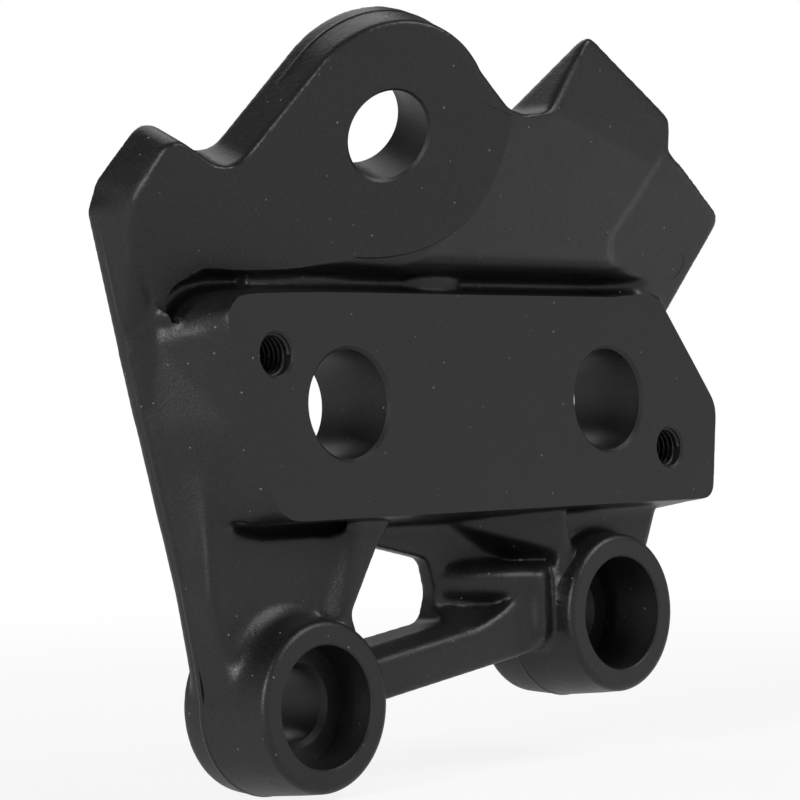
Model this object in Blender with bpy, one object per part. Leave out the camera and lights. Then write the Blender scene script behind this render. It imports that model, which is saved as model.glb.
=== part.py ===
"""Motorcycle footrest hanger: one forged and machined aluminium piece.

Sizes are in millimetres and become metres where a mesh is made. x runs along the mounting pad,
y points back through the part and z is up. The origin lies on the pad face, half way between
the two mounting holes.
"""

import math

import bmesh
import bpy
from mathutils import Vector

MM = 0.001

# Mounting pad: two clearance holes and two blind tapped holes in a machined face
hole_pitch = 47.0
hole_radius = 6.5
hole_chamfer = 0.42
pad_top = 13.2
pad_bottom = -13.5
pad_left = -39.6
pad_left_slope = -0.316
pad_right = 45.6
pad_shoulder_x = 34.1
pad_shoulder_z = -1.1
pad_cut = (-42.9, 10.5)
pad_cut_x = -40.6
shelf_z = 8.6
flare_z = -2.0
body_depth = 12.0
wall_draft = 0.15
tap_radius = 2.1
tap_depth = 9.0
tap_countersink = 0.55
tap_left = (-35.2, 5.9)
tap_right = (35.6, -6.5)

# Left edge: a straight forged rim whose parting line is in front of the back face
edge_x = -47.65
edge_slope = -0.263
parting_depth = 10.0

# Bosses under the pad, faces flush with it
boss_left = (-28.7, -35.4)
boss_right = (25.0, -27.7)
boss_radius = 10.2
boss_flare = 0.08
boss_edge = 0.5
boss_left_depth = 13.8
boss_right_depth = 16.0
counterbore_radius = 7.28
counterbore_left_depth = 5.2
counterbore_right_depth = 9.2
counterbore_chamfer = 0.2
bolt_radius = 4.38
bolt_chamfer = 0.65

# Ear plate: leans forward and turns left, with a machined spot face round its hole
ear_centre = Vector((-21.76, -6.0, 31.33))
ear_lean = math.radians(21.7)
ear_turn = math.radians(13.3)
ear_radius = 14.0
ear_hole_radius = 5.38
ear_hole_chamfer = 0.35
ear_thickness = 7.5
spot_radius = 16.0
forging_allowance = 0.15
face_crease = 2.0
face_fall_right = 0.012
face_roll_z = 20.6
ear_face_foot = 15.4

# Wing plate to the right of the ear
wing_lean = math.radians(27.06)
wing_distance = 5.75
wing_thickness = 7.5
wing_chamfer_z = 34.5
wing_chamfer_slope = 0.75
wing_facet_normal = Vector((-0.098, 0.99, 0.099))
wing_facet_distance = -7.8
wing_step = 0.7

# Groove between pad and plates
groove_floor = 4.4
groove_end = 31.0
groove_bridge_x = -5.0

# Lower frame: legs, cross-bar, web and window
leg_face = 5.6
rib_face = 3.0
right_leg_face = 4.8
web_face = 9.4
bar_face = 4.0
bar_height = 4.9

# Forged surface
grain = 0.42
rounding_passes = 10
blank_facets = 6700
round_segments = 48


def clear_scene():
    for obj in list(bpy.data.objects):
        bpy.data.objects.remove(obj, do_unlink=True)


def new_object(name, bm):
    bmesh.ops.recalc_face_normals(bm, faces=bm.faces)
    if bm.calc_volume(signed=True) < 0:
        bmesh.ops.reverse_faces(bm, faces=bm.faces)
    mesh = bpy.data.meshes.new(name)
    bm.to_mesh(mesh)
    bm.free()
    obj = bpy.data.objects.new(name, mesh)
    bpy.context.scene.collection.objects.link(obj)
    return obj


def loft(name, rings):
    """A closed solid through rings of as many points each."""
    bm = bmesh.new()
    rows = [[bm.verts.new(Vector(p) * MM) for p in ring] for ring in rings]
    count = len(rows[0])
    for near, far in zip(rows, rows[1:]):
        for i in range(count):
            j = (i + 1) % count
            bm.faces.new((near[i], near[j], far[j], far[i]))
    bm.faces.new(rows[0][::-1])
    bm.faces.new(rows[-1])
    return new_object(name, bm)


def hull(name, points):
    bm = bmesh.new()
    verts = [bm.verts.new(Vector(p) * MM) for p in points]
    found = bmesh.ops.convex_hull(bm, input=verts)
    spare = [v for v in found["geom_interior"] if isinstance(v, bmesh.types.BMVert)]
    bmesh.ops.delete(bm, geom=spare, context="VERTS")
    return new_object(name, bm)


def settle(obj):
    """Replaces the object's mesh by the result of its modifiers."""
    bpy.context.view_layer.update()
    graph = bpy.context.evaluated_depsgraph_get()
    mesh = bpy.data.meshes.new_from_object(obj.evaluated_get(graph))
    obj.modifiers.clear()
    obj.data = mesh


def combine(obj, other, operation):
    step = obj.modifiers.new(other.name, "BOOLEAN")
    step.operation = operation
    step.solver = "EXACT"
    step.object = other
    settle(obj)
    bpy.data.objects.remove(other, do_unlink=True)


def rounded(corners, steps=5):
    """Outline points from (a, b, radius) corners, each round one as an arc."""
    points = []
    count = len(corners)
    for i, (a, b, radius) in enumerate(corners):
        here = Vector((a, b))
        if radius == 0:
            points.append((a, b))
            continue
        back = (Vector(corners[i - 1][:2]) - here).normalized()
        ahead = (Vector(corners[(i + 1) % count][:2]) - here).normalized()
        half = back.angle(ahead) / 2
        middle = here + (back + ahead).normalized() * radius / math.sin(half)
        start = here + back * radius / math.tan(half)
        end = here + ahead * radius / math.tan(half)
        for k in range(steps + 1):
            chord = (start - middle).lerp(end - middle, k / steps)
            point = middle + chord.normalized() * radius
            points.append((point.x, point.y))
    return points


def at_depth(points, y):
    return [(x, y, z) for x, z in points]


class Plane:
    """A face seen from the front: an origin, its right and up directions and the way in."""

    def __init__(self, origin, inward):
        self.inward = inward.normalized()
        self.origin = origin
        up = Vector((0, 0, 1))
        self.up = (up - self.inward * up.dot(self.inward)).normalized()
        self.right = self.up.cross(-self.inward)

    def point(self, u, w, depth=0.0):
        return self.origin + self.right * u + self.up * w + self.inward * depth

    def ring(self, points, depth):
        return [self.point(u, w, depth) for u, w in points]

    def depth_at(self, x, z, depth=0.0):
        """The y of the plane over a place in the front view."""
        side = self.inward.x * (x - self.origin.x) + self.inward.z * (z - self.origin.z)
        return self.origin.y + (depth - side) / self.inward.y


def ear_inward():
    level = math.cos(ear_lean)
    return Vector((level * math.sin(ear_turn), level * math.cos(ear_turn), math.sin(ear_lean)))


EAR = Plane(ear_centre, ear_inward())
forged_inward = EAR.inward - EAR.right * face_fall_right
EAR_FORGED = Plane(EAR.point(face_crease, 0), forged_inward)
EAR_ROUGH = Plane(EAR.point(0, 0, -forging_allowance), EAR.inward)
wing_inward = Vector((0, math.cos(wing_lean), math.sin(wing_lean)))
WING = Plane(wing_inward * wing_distance, wing_inward)
FACET = Plane(wing_facet_normal * wing_facet_distance, wing_facet_normal)


def in_front_of(name, plane, least_x=-80, most_x=80):
    """A cutter for all that stands in front of a plane, between two places along x."""
    front = -60
    corners = [(least_x, -60), (most_x, -60), (most_x, 80), (least_x, 80)]
    face = [(x, max(front + 1, plane.depth_at(x, z)), z) for x, z in corners]
    return hull(name, at_depth(corners, front) + face)


def front_slope_cutter(name, plane, depth):
    """A cutter in front of a plane moved in by a depth, for the plate heights only."""
    corners = [(-80, 0), (80, 0), (80, 60), (-80, 60)]
    face = [(x, plane.depth_at(x, z, depth), z) for x, z in corners]
    return hull(name, at_depth(corners, -70) + face)


def ear_face_cutter():
    """All in front of the ear's face, above the pad and above the groove's left end."""
    foot, low = ear_face_foot, shelf_z + 1.0
    corners = [(-80, 80), (-80, low), (-45.0, low), (-43.2, foot), (80, foot), (80, 80)]
    face = [(x, EAR.depth_at(x, z), z) for x, z in corners]
    return loft("ear_face", [at_depth(corners, -70), face])


def turned(name, plane, profile, u=0.0, w=0.0, segments=round_segments):
    """A round solid or cutter from (depth, radius) pairs about an axis square to a plane."""
    rings = []
    for depth, radius in profile:
        angles = [2 * math.pi * k / segments for k in range(segments)]
        points = [(u + radius * math.cos(a), w + radius * math.sin(a)) for a in angles]
        rings.append(plane.ring(points, depth))
    return loft(name, rings)


FRONT = Plane(Vector((0, 0, 0)), Vector((0, 1, 0)))


def edge_at(z):
    return edge_x + edge_slope * z


def pad_edge_at(z):
    return pad_left + pad_left_slope * z


def pad_corners(y, side, shelf):
    """The outline at a depth: side and shelf are the flare's shares at its foot and at its top."""
    out = wall_draft * y
    bottom = pad_bottom - out
    flare = []
    levels = (
        (shelf_z, shelf, 0.1 + 0.22 * y),
        (flare_z, side, 3),
        (bottom, side, 5 - 0.2 * y),
    )
    for z, share, radius in levels:
        flare.append((pad_edge_at(z) * (1 - share) + edge_at(z) * share, z, radius))
    return rounded(
        [
            (pad_cut_x - out, pad_top + out, 3),
            (pad_cut[0] - 0.2 * y, pad_cut[1] + 0.3 * out, 2),
            *flare,
            (pad_right - 1.2 + out, bottom, 2),
            (pad_right + out, pad_shoulder_z, 4),
            (pad_shoulder_x + out, pad_top + out, 4),
        ]
    )


def pad_block():
    sections = (
        (-0.6, 0.0, 0.0),
        (3.0, 0.25, 0.2),
        (8.2, 0.82, 0.56),
        (parting_depth - 0.4, 1.0, 1.0),
        (body_depth, 1.0, 1.0),
    )
    rings = [at_depth(pad_corners(max(y, 0.0), side, shelf), y) for y, side, shelf in sections]
    return loft("pad_block", rings)


def ear_slab():
    ear_offset = 0.4
    start, end = math.radians(36), math.radians(146)
    arc = [start + (end - start) * k / 16 for k in range(17)]
    crown = [(ear_offset + ear_radius * math.cos(a), ear_radius * math.sin(a)) for a in arc]
    rings = []
    for depth, left in ((-3.0, 0.0), (0.0, 0.0), (ear_thickness, 1.3)):
        corners = [
            (*crown[-1], 0),
            (-20.2, -5.4, 3.5),
            (-28.6 - 0.3 * left, -0.7, 2.2),
            (-32.9 - left, -8.8, 2.5),
            (-25.7 - 2 * left, -23.5, 0),
            (-23.8 - 2 * left, -29.0, 0),
            (24.0, -27.0, 0),
            (24.0, 0.8, 0),
            (16.6, 3.7, 2.5),
            (*crown[0], 0),
        ]
        rings.append(EAR.ring(crown + rounded(corners)[1:-1], depth))
    return loft("ear_slab", rings)


def wing_outline():
    return rounded(
        [
            (-14.0, 31.0, 0),
            (-5.0, 34.2, 1.5),
            (1.0, 34.9, 3.0),
            (8.4, 44.9, 1.6),
            (27.4, 35.6, 2.5),
            (27.2, 31.6, 1.0),
            (41.9, 23.7, 2.0),
            (37.4, 10.5, 0),
            (36.0, 7.0, 0),
            (-14.0, 7.0, 0),
        ]
    )


def wing_slab():
    outline = wing_outline()
    front = [(x, WING.depth_at(x, z), z) for x, z in outline]
    back = [(x, WING.depth_at(x, z, wing_thickness), z) for x, z in outline]
    return loft("wing_slab", [front, back])


def wing_step_cutter():
    outline = [
        (26.2, 40.0), (25.6, 33.0), (24.6, 28.0), (21.2, 24.6), (20.6, 22.1),
        (22.5, 19.0), (26.5, 15.5), (34.0, 8.0), (60.0, 8.0), (60.0, 40.0),
    ]
    back = [(x, WING.depth_at(x, z, wing_step), z) for x, z in outline]
    return loft("wing_step", [at_depth(outline, -40), back])


def wing_back_cutter():
    """Thins the wing's tip from behind."""
    low, high = wing_chamfer_z, 60.0
    start = WING.depth_at(0.0, low, wing_thickness)
    end = start - wing_chamfer_slope * (high - low)
    section = [(start, low), (end, high), (40.0, high), (40.0, low)]
    return loft("wing_back", [[(x, y, z) for y, z in section] for x in (1.0, 60.0)])


def ear_boss():
    """The round raised boss on the ear plate, below and beside the hole."""
    start, end = math.radians(184), math.radians(370)
    angles = [start + (end - start) * k / 40 for k in range(41)]
    outline = [(spot_radius * math.cos(a), spot_radius * math.sin(a)) for a in angles]
    outline += [(11.6, 7.2), (-11.0, 7.2)]
    return loft("ear_boss", [EAR.ring(outline, -1.0), EAR.ring(outline, 4.0)])


def rim():
    """The left side below the horn, which leans out from the ear face's border to the edge."""
    border = [(-52.5, 5.1, 22.3), (-48.85, 6.7, 16.0), (-44.75, 8.5, 9.5), (-43.0, 9.4, 6.0)]
    edge = [(edge_at(z) + inset, z) for z, inset in ((26.0, 2.4), (22.7, 0.1), (2.0, 0.0))]
    inner = [(x + 9.0, z) for x, z in edge]
    rear = at_depth(edge, parting_depth) + at_depth(edge, body_depth) + at_depth(inner, body_depth)
    return hull("rim", border + rear)


def plates():
    plate = ear_slab()
    combine(plate, rim(), "UNION")
    combine(plate, in_front_of("ear_forged_front", EAR_FORGED), "DIFFERENCE")
    combine(plate, in_front_of("ear_front", EAR_ROUGH), "DIFFERENCE")
    wing = wing_slab()
    combine(wing, in_front_of("ear_front_again", EAR_FORGED), "DIFFERENCE")
    combine(wing, in_front_of("facet_front", FACET, least_x=-8), "DIFFERENCE")
    combine(wing, wing_step_cutter(), "DIFFERENCE")
    combine(wing, wing_back_cutter(), "DIFFERENCE")
    combine(plate, front_slope_cutter("wing_front", WING, 0.0), "DIFFERENCE")
    combine(plate, wing, "UNION")
    behind = [(x, y, z) for x in (-80, 80) for y in (body_depth, 60) for z in (-60, 80)]
    combine(plate, hull("behind", behind), "DIFFERENCE")
    return plate


def plate_root():
    """Solid metal behind the groove, where the plates grow out of the pad."""
    foot = [(x, y, 10.0) for x in (-47.0, 38.0) for y in (6.0, body_depth)]
    heel = [(-44.0, body_depth, 16.5), (36.5, body_depth, 15.5)]
    top = [(-32.0, 4.4, 24.0), (33.0, 3.4, 23.0)]
    return hull("plate_root", foot + heel + top)


def groove_cutter():
    floor = groove_floor
    section = [
        (-14.0, pad_top - 14.0 * wall_draft),
        (floor - 1.0, pad_top + (floor - 1.0) * wall_draft),
        (floor - 0.2, pad_top + 0.8),
        (floor, pad_top + 1.4),
        (floor - 0.2, pad_top + 2.0),
        (floor - 0.9, pad_top + 2.35),
        (floor - 2.4, pad_top + 2.5),
        (floor - 3.9, pad_top + 2.9),
        (floor - 5.4, pad_top + 3.6),
        (floor - 6.7, pad_top + 4.6),
        (floor - 7.8, pad_top + 6.0),
        (floor - 10.7, pad_top + 10.8),
        (-14.0, pad_top + 10.8),
    ]
    left = [(-42.0, y + 3.4, z) for y, z in section]
    middle = [(-26.0, y, z) for y, z in section]
    right = [(groove_end - 6.0, y, z) for y, z in section]
    tip = [(groove_end, y - 4.5, z) for y, z in section]
    return loft("groove", [left, middle, right, tip])


def ear_roll():
    """Rounds the ear plate's lower edge into the groove, along the plate's own slant."""
    rings = []
    for x, fade in ((-45.0, 3.4), (-38.0, 1.3), (-29.0, 0.0), (-6.0, 0.0)):
        start = EAR.depth_at(x, face_roll_z) - fade
        section = [
            (start - 14.0, face_roll_z),
            (start, face_roll_z),
            (start + 0.95, face_roll_z - 2.0),
            (start + 1.6, face_roll_z - 3.0),
            (start + 2.7, face_roll_z - 4.0),
            (start + 4.2, face_roll_z - 4.7),
            (start + 6.0, face_roll_z - 5.0),
            (start + 6.0, face_roll_z - 5.6),
            (start - 14.0, face_roll_z - 6.6),
        ]
        rings.append([(x, y, z) for y, z in section])
    return loft("ear_roll", rings)


def groove_turn():
    """The groove's left end, which turns down beside the pad's corner and runs out."""
    path = (
        (-35.0, 5.0, 14.7, 1.0),
        (-39.0, 6.0, 14.6, 1.25),
        (-41.6, 6.8, 14.1, 1.4),
        (-43.4, 7.6, 13.0, 1.5),
        (-44.3, 8.0, 11.6, 1.3),
        (-44.4, 8.0, 10.0, 0.9),
    )
    rings = []
    for k, (x, y, z, radius) in enumerate(path):
        before, after = path[max(k - 1, 0)], path[min(k + 1, len(path) - 1)]
        run = Vector((after[0] - before[0], after[2] - before[2])).normalized()
        angles = [2 * math.pi * i / 16 for i in range(16)]
        rings.append(
            [
                (
                    x - run.y * radius * math.cos(a),
                    y + (1.6 + 0.5 * radius) * math.sin(a),
                    z + run.x * radius * math.cos(a),
                )
                for a in angles
            ]
        )
    return loft("groove_turn", rings)


def groove_bridge():
    rings = []
    for k in range(9):
        slant = math.pi * (k + 0.5) / 9
        reach = math.sin(slant)
        x = groove_bridge_x + 5.0 * math.cos(slant)
        angles = [2 * math.pi * i / 12 for i in range(12)]
        rings.append(
            [
                (
                    x,
                    groove_floor + 2.4 * reach * math.cos(a),
                    pad_top + 1.6 + 2.4 * reach * math.sin(a),
                )
                for a in angles
            ]
        )
    return loft("groove_bridge", rings)


def pad_undercut():
    """The rounded hollow between the pad's lower edge and the left leg."""
    rings = []
    for x, radius in ((-38.0, 0.5), (-36.0, 1.5), (-33.0, 2.0), (-22.0, 2.0), (-17.5, 1.0)):
        angles = [2 * math.pi * k / 16 for k in range(16)]
        rings.append([(x, 5.3 + radius * math.cos(a), -15.7 + radius * math.sin(a)) for a in angles])
    return loft("pad_undercut", rings)


def boss(name, place, depth):
    x, z = place
    rear = boss_radius + boss_flare * parting_depth
    profile = [
        (-0.35, boss_radius),
        (parting_depth, rear),
        (depth, rear - 0.3),
    ]
    return turned(name, FRONT, profile, u=x, w=z)


def boss_skin(name, place, depth):
    """The clean turned outside of a boss, with its rounded front edge."""
    x, z = place
    edge = boss_edge
    widest = boss_radius + boss_flare * parting_depth + 0.05
    profile = [(-0.6, boss_radius - edge), (0.0, boss_radius - edge)]
    for degrees in (45, 90):
        turn = math.radians(degrees)
        profile.append((edge * (1 - math.cos(turn)), boss_radius - edge * (1 - math.sin(turn))))
    profile += [(parting_depth, widest), (depth - edge, widest - 0.3), (depth, widest - 0.3 - edge)]
    return turned(name, FRONT, profile, u=x, w=z)


def left_leg():
    inner = [(-28.7, -36.0), (-19.5, -30.0), (-16.0, -8.0)]
    front = [(-41.9, -8.0), (-41.5, -22.0), (-38.6, -33.0), *inner]
    rear = [(edge_at(-8.0), -8.0), (edge_at(-22.0), -22.0), (-39.6, -33.5), *inner]
    return loft(
        "left_leg",
        [at_depth(front, leg_face), at_depth(rear, parting_depth), at_depth(rear, body_depth)],
    )


def window_rib():
    front = [(-20.7, -12.0), (-27.8, -31.0), (-22.5, -33.0)]
    front += [(-19.6, -28.4), (-21.3, -25.2), (-12.6, -12.0)]
    rear = [(-21.9, -12.0), (-29.0, -31.0), (-22.5, -33.0)]
    rear += [(-19.0, -28.4), (-20.7, -25.2), (-12.0, -12.0)]
    return loft("window_rib", [at_depth(front, rib_face), at_depth(rear, body_depth)])


def cross_bar():
    run = Vector((boss_right[0] - boss_left[0], boss_right[1] - boss_left[1])).normalized()
    up = Vector((-run.y, run.x))
    start = Vector(boss_left) + run * 6.0
    end = Vector(boss_right) - run * 6.0
    half = bar_height / 2
    sections = (
        (bar_face, half, half),
        (bar_face + 5.4, half + 0.5, half + 3.2),
        (body_depth, half + 0.5, half + 3.2),
    )
    rings = []
    for y, below, above in sections:
        corners = (start - up * below, end - up * below, end + up * above, start + up * above)
        rings.append([(c.x, y, c.y) for c in corners])
    return loft("cross_bar", rings)


def web():
    outline = [(-18.0, -10.0), (-20.0, -33.0), (0.0, -33.0)]
    outline += [(0.0, -25.5), (22.0, -25.5), (22.0, -10.0)]
    return loft("web", [at_depth(outline, web_face), at_depth(outline, body_depth)])


def pocket_floor():
    outline = [(-2.0, -24.0), (-2.0, -33.0), (22.0, -30.0), (22.0, -24.0)]
    return loft("pocket_floor", [at_depth(outline, body_depth - 1.2), at_depth(outline, body_depth)])


def pocket_lip():
    """The rib over the pocket, whose underside runs back and down behind the cross-bar."""
    rings = []
    for x, front in ((-1.4, 6.2), (4.0, 5.0), (11.8, 2.6)):
        section = (
            (front, -21.3),
            (front, -22.6),
            (front + 1.2, -24.1),
            (body_depth, -28.0),
            (body_depth, -19.5),
            (web_face, -19.8),
            (front + 0.8, -20.6),
        )
        rings.append([(x, y, z) for y, z in section])
    return loft("pocket_lip", rings)


def right_leg():
    front = [(18.5, -8.0), (18.5, -16.7), (19.6, -20.0), (22.0, -27.0)]
    front += [(33.0, -27.0), (36.5, -19.0), (38.6, -14.0), (39.0, -8.0)]
    rear = [(17.8, -8.0), (17.8, -16.7), (18.8, -20.0), (20.0, -28.0)]
    rear += [(35.0, -28.0), (40.0, -19.0), (42.6, -14.0), (43.0, -8.0)]
    return loft("right_leg", [at_depth(front, right_leg_face), at_depth(rear, body_depth)])


def corner_gusset():
    """The slanted facet that falls from a ridge beside the right boss to the web."""
    ridge = [(15.9, 2.0, -12.5), (15.9, 2.0, -16.8), (18.0, 1.8, -19.8)]
    crease = [(0.6, web_face, -13.0), (1.0, web_face, -14.7)]
    crease += [(8.3, web_face, -18.4), (15.8, web_face, -20.4)]
    rear = [(0.6, body_depth, -13.0), (16.0, body_depth, -21.0), (20.0, body_depth, -12.5)]
    behind = [(18.4, 4.8, -12.5), (20.0, 4.8, -20.0), (16.5, 6.6, -21.2)]
    return hull("corner_gusset", ridge + crease + rear + behind)


def gusset_foot():
    """The facet's narrow end, which runs down the right boss's flank."""
    front = [(15.9, 2.0, -16.8), (18.0, 1.8, -19.8), (16.3, 2.4, -22.4), (15.0, 3.8, -25.6)]
    rear = [(16.5, 6.6, -20.8), (15.8, 5.4, -22.4), (20.0, web_face, -19.5), (20.0, web_face, -25.0)]
    return hull("gusset_foot", front + rear)


def pocket_rib():
    """The upright rib between the cross-bar and the right boss."""
    front = [(11.4, 2.3, -21.8), (13.2, 2.3, -21.3), (13.4, 2.4, -30.6), (11.6, 2.4, -30.0)]
    flank = [(15.6, 4.4, -20.8), (15.6, 4.4, -31.0)]
    rear = [(11.0, web_face, -20.8), (16.0, web_face, -20.3)]
    rear += [(16.0, web_face, -32.0), (11.0, web_face, -31.5)]
    return hull("pocket_rib", front + flank + rear)


def window_cutter():
    outline = rounded(
        [
            (-15.9, -16.3, 0.8),
            (-21.0, -25.0, 1.5),
            (-19.3, -30.0, 1.0),
            (-1.2, -27.4, 1.8),
            (0.0, -24.0, 2.0),
            (-1.0, -19.6, 2.0),
        ]
    )
    return loft("window", [at_depth(outline, -2), at_depth(outline, body_depth + 3)])


def melt(name, parts):
    """One body from overlapping closed solids, on a fine voxel grid."""
    bm = bmesh.new()
    for part in parts:
        bm.from_mesh(part.data)
        bpy.data.objects.remove(part, do_unlink=True)
    mesh = bpy.data.meshes.new(name)
    bm.to_mesh(mesh)
    bm.free()
    body = bpy.data.objects.new(name, mesh)
    bpy.context.scene.collection.objects.link(body)
    voxelise(body)
    settle(body)
    return body


def voxelise(body):
    step = body.modifiers.new("grain", "REMESH")
    step.mode = "VOXEL"
    step.voxel_size = grain * MM


def forging():
    """The blank: every drafted form joined, then its edges rounded as a forging's are."""
    parts = [
        pad_block(),
        plates(),
        plate_root(),
        left_leg(),
        window_rib(),
        cross_bar(),
        web(),
        pocket_floor(),
        pocket_lip(),
        right_leg(),
        corner_gusset(),
        gusset_foot(),
        pocket_rib(),
        boss("boss_left", boss_left, boss_left_depth),
        boss("boss_right", boss_right, boss_right_depth),
    ]
    blank = melt("blank", parts)
    combine(blank, groove_cutter(), "DIFFERENCE")
    combine(blank, ear_roll(), "DIFFERENCE")
    combine(blank, groove_turn(), "DIFFERENCE")
    combine(blank, groove_bridge(), "UNION")
    combine(blank, pad_undercut(), "DIFFERENCE")
    combine(blank, window_cutter(), "DIFFERENCE")
    voxelise(blank)
    smooth = blank.modifiers.new("rounding", "SMOOTH")
    smooth.factor = 0.5
    smooth.iterations = rounding_passes
    settle(blank)
    facets = sum(len(face.vertices) - 2 for face in blank.data.polygons)
    thin = blank.modifiers.new("facets", "DECIMATE")
    thin.ratio = blank_facets / facets
    settle(blank)
    return blank


def through_hole(name, plane, radius, chamfer, depth, u=0.0, w=0.0):
    """A drilled hole with both mouths chamfered."""
    out = 1.0
    profile = [
        (-out, radius + chamfer + out),
        (chamfer, radius),
        (depth - chamfer, radius),
        (depth + out, radius + chamfer + out),
    ]
    return turned(name, plane, profile, u, w)


def tapped_hole(name, place):
    profile = [
        (-1.0, tap_radius + tap_countersink + 1.0),
        (tap_countersink, tap_radius),
        (tap_depth, tap_radius),
        (tap_depth + 1.2, 0.1),
    ]
    return turned(name, FRONT, profile, *place, segments=24)


def boss_bore(name, place, floor, depth):
    profile = [
        (-1.0, counterbore_radius + counterbore_chamfer + 1.0),
        (counterbore_chamfer, counterbore_radius),
        (floor, counterbore_radius),
        (floor, bolt_radius + bolt_chamfer),
        (floor + bolt_chamfer, bolt_radius),
        (depth - bolt_chamfer, bolt_radius),
        (depth + 1.0, bolt_radius + bolt_chamfer + 1.0),
    ]
    return turned(name, FRONT, profile, *place)


def machining(blank):
    """Flat faces first, then every hole."""
    combine(blank, ear_boss(), "UNION")
    combine(blank, boss_skin("skin_left", boss_left, boss_left_depth), "UNION")
    combine(blank, boss_skin("skin_right", boss_right, boss_right_depth), "UNION")
    face = [(x, y, z) for x in (-60, 60) for y in (-20, 0) for z in (-60, pad_top + 0.9)]
    cutters = [hull("pad_face", face), ear_face_cutter()]
    cutters.append(through_hole("ear_hole", EAR, ear_hole_radius, ear_hole_chamfer, ear_thickness))
    for side in (-1, 1):
        place = side * hole_pitch / 2
        cutters.append(
            through_hole(f"pad_hole_{side}", FRONT, hole_radius, hole_chamfer, body_depth, place)
        )
    cutters.append(tapped_hole("tap_left", tap_left))
    cutters.append(tapped_hole("tap_right", tap_right))
    cutters.append(boss_bore("bore_left", boss_left, counterbore_left_depth, boss_left_depth))
    cutters.append(boss_bore("bore_right", boss_right, counterbore_right_depth, boss_right_depth))
    for cutter in cutters:
        combine(blank, cutter, "DIFFERENCE")


def satin_black():
    material = bpy.data.materials.new("satin_black")
    material.use_nodes = True
    shader = material.node_tree.nodes["Principled BSDF"]
    shader.inputs["Base Color"].default_value = (0.035, 0.036, 0.039, 1.0)
    shader.inputs["Roughness"].default_value = 0.42
    shader.inputs["Metallic"].default_value = 0.6
    return material


def main():
    clear_scene()
    hanger = forging()
    machining(hanger)
    hanger.name = "hanger"
    hanger.data.name = "hanger"
    hanger.data.materials.clear()
    hanger.data.materials.append(satin_black())
    hanger.data.shade_smooth()
    hanger.data.set_sharp_from_angle(angle=math.radians(32))


main()
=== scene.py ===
# %% [markdown]
# # A forged footrest hanger in satin black
#
# This hanger is one aluminium forging. Its blank comes out of the dies with sloping walls and
# rounded edges, then a cutter faces the pad, the ear and the two bosses, the holes are drilled,
# and the whole piece gets a satin black coat. The script makes the visible piece in the same
# order: drafted forms, a melted and rounded blank, machined faces and holes, threads, then the
# coat. Sizes are in millimetres and become metres where a mesh is made.

import math

import bmesh
import bpy
import numpy as np
from mathutils import Matrix, Vector
from mathutils.bvhtree import BVHTree


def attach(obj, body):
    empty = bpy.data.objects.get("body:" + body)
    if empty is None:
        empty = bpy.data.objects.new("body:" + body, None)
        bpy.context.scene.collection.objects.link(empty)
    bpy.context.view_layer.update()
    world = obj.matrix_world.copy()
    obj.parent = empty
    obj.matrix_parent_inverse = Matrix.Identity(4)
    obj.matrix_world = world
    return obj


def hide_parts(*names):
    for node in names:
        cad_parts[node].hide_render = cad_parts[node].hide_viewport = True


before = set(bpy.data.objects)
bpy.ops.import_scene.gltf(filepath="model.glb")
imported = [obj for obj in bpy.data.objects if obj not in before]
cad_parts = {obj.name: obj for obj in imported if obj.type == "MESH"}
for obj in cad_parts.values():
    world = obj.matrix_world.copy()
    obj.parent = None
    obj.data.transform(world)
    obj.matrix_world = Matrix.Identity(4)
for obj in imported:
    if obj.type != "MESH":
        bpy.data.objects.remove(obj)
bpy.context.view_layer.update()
MM = 0.001

# %% [markdown]
# ## From points to closed solids
#
# Almost every form of a forging is a slope between two outlines, because the dies have to let
# go of it. So one helper lofts rings of points into a closed solid, and another wraps the
# tightest skin round a few corners. Normals are recalculated each time, since a Boolean can
# only tell the inside from the outside when every face points out.

# %% Closed solids
def new_object(name, bm):
    mesh = bpy.data.meshes.new(name)
    bm.to_mesh(mesh)
    bm.free()
    obj = bpy.data.objects.new(name, mesh)
    bpy.context.scene.collection.objects.link(obj)
    return obj


def closed_object(name, bm):
    bmesh.ops.recalc_face_normals(bm, faces=bm.faces)
    if bm.calc_volume(signed=True) < 0:
        bmesh.ops.reverse_faces(bm, faces=bm.faces)
    return new_object(name, bm)


def loft(name, rings):
    """A closed solid through rings of as many points each."""
    bm = bmesh.new()
    rows = [[bm.verts.new(Vector(p) * MM) for p in ring] for ring in rings]
    count = len(rows[0])
    for near, far in zip(rows, rows[1:]):
        for i in range(count):
            j = (i + 1) % count
            bm.faces.new((near[i], near[j], far[j], far[i]))
    bm.faces.new(rows[0][::-1])
    bm.faces.new(rows[-1])
    return closed_object(name, bm)


def hull(name, points):
    bm = bmesh.new()
    verts = [bm.verts.new(Vector(p) * MM) for p in points]
    found = bmesh.ops.convex_hull(bm, input=verts)
    spare = [v for v in found["geom_interior"] if isinstance(v, bmesh.types.BMVert)]
    bmesh.ops.delete(bm, geom=spare, context="VERTS")
    return closed_object(name, bm)

# %% [markdown]
# ## Adding and cutting
#
# A Boolean modifier is read as soon as it is set and its result becomes the mesh, so no
# modifier is left on a finished piece. The exact solver is slow on a dense mesh, so the manifold
# solver does the cutting here: it needs closed meshes, and every mesh in this script is closed.

# %% Booleans
def settle(obj):
    """Replaces the object's mesh by the result of its modifiers."""
    bpy.context.view_layer.update()
    graph = bpy.context.evaluated_depsgraph_get()
    mesh = bpy.data.meshes.new_from_object(obj.evaluated_get(graph))
    obj.modifiers.clear()
    obj.data = mesh


def combine(obj, other, operation, solver="EXACT"):
    step = obj.modifiers.new(other.name, "BOOLEAN")
    step.operation = operation
    step.solver = solver
    step.object = other
    settle(obj)
    bpy.data.objects.remove(other, do_unlink=True)

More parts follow.
